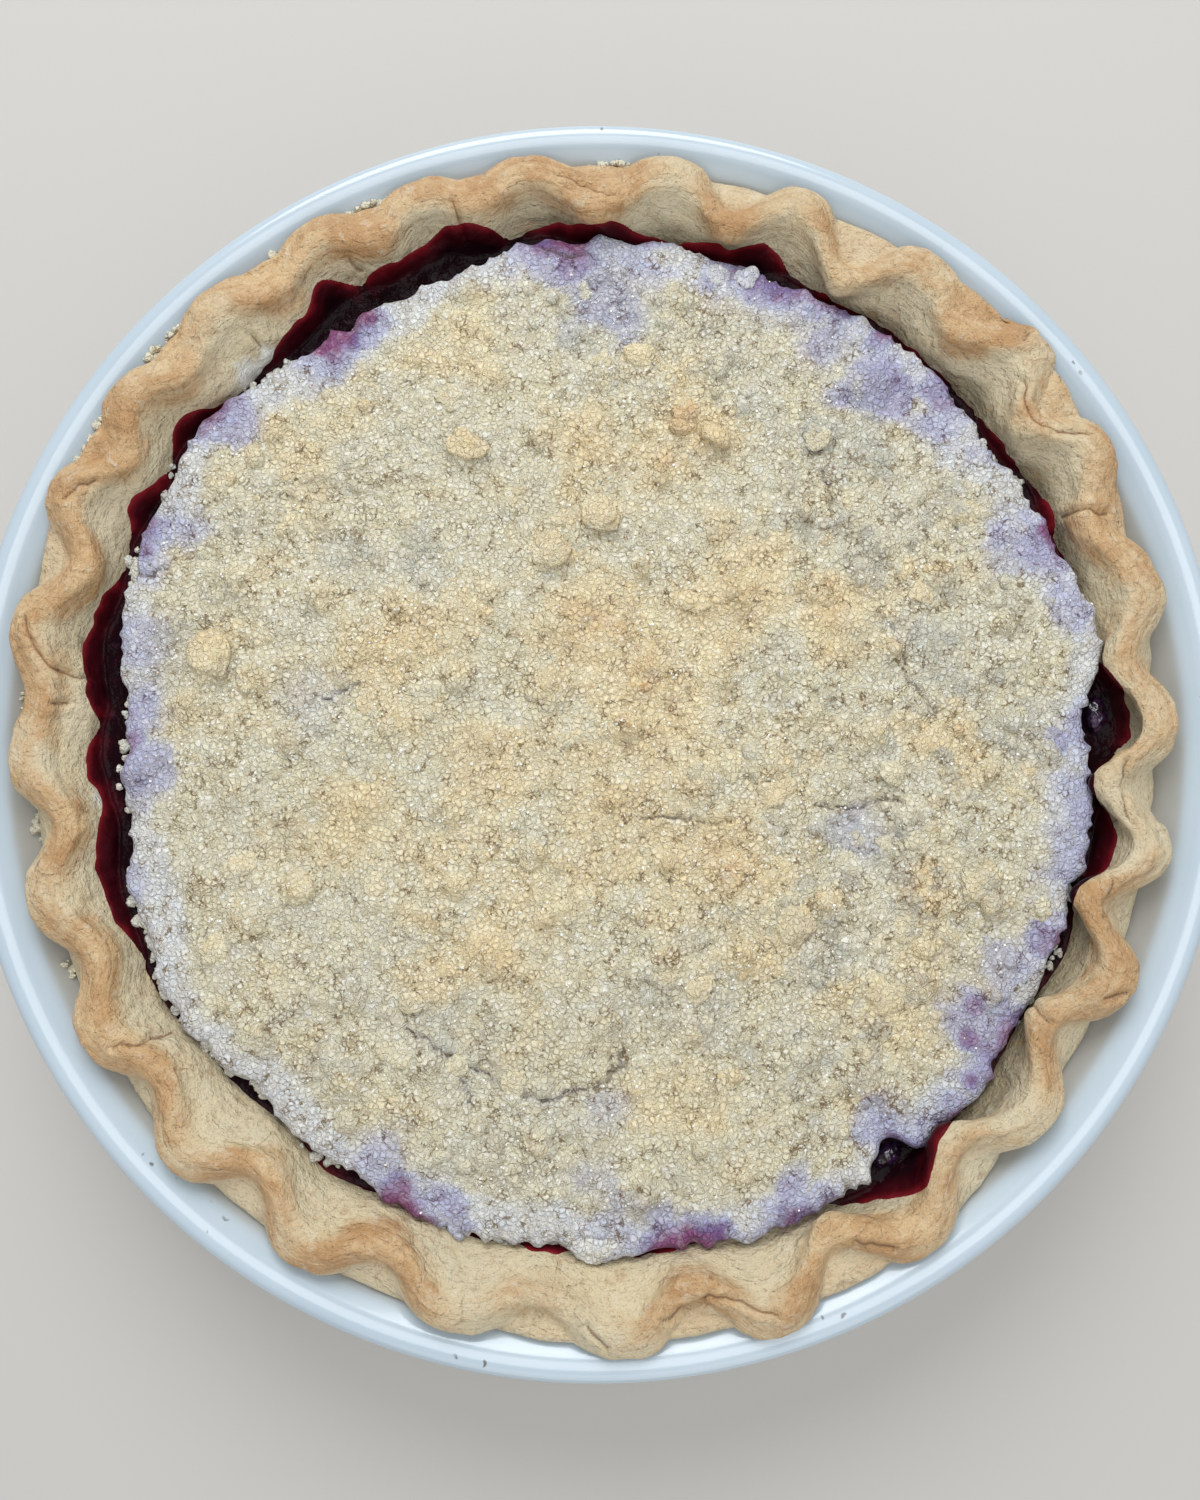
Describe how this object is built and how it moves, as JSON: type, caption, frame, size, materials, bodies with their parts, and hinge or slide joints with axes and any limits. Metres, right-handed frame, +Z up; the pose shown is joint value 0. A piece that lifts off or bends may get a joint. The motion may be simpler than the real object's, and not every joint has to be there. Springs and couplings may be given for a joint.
{
  "type": "grape pie",
  "caption": "Round grape pie with a fluted pastry edge and a crumb topping, baked and served in its own white pie dish.",
  "frame": {"origin": "middle of the dish's flat base, on the surface that it stands on", "axes": "+Z up, +X to the right and +Y away from the viewer as the pie is pictured from above"},
  "size_m": [0.263, 0.263, 0.0461],
  "materials": {
    "glaze": "glossy white glaze",
    "pastry": "baked short pastry, golden on the ridge and pale below",
    "jelly": "wet dark red grape jelly",
    "crumbs": "dry butter and flour crumbs with sugar grains, stained violet at the edge",
    "skin": "wet dark grape skin"
  },
  "bodies": {
    "root": {"dish": "glaze", "crust": "pastry", "filling": "jelly", "topping": "crumbs", "grape_1": "skin", "grape_2": "skin"}
  },
  "joints": []
}
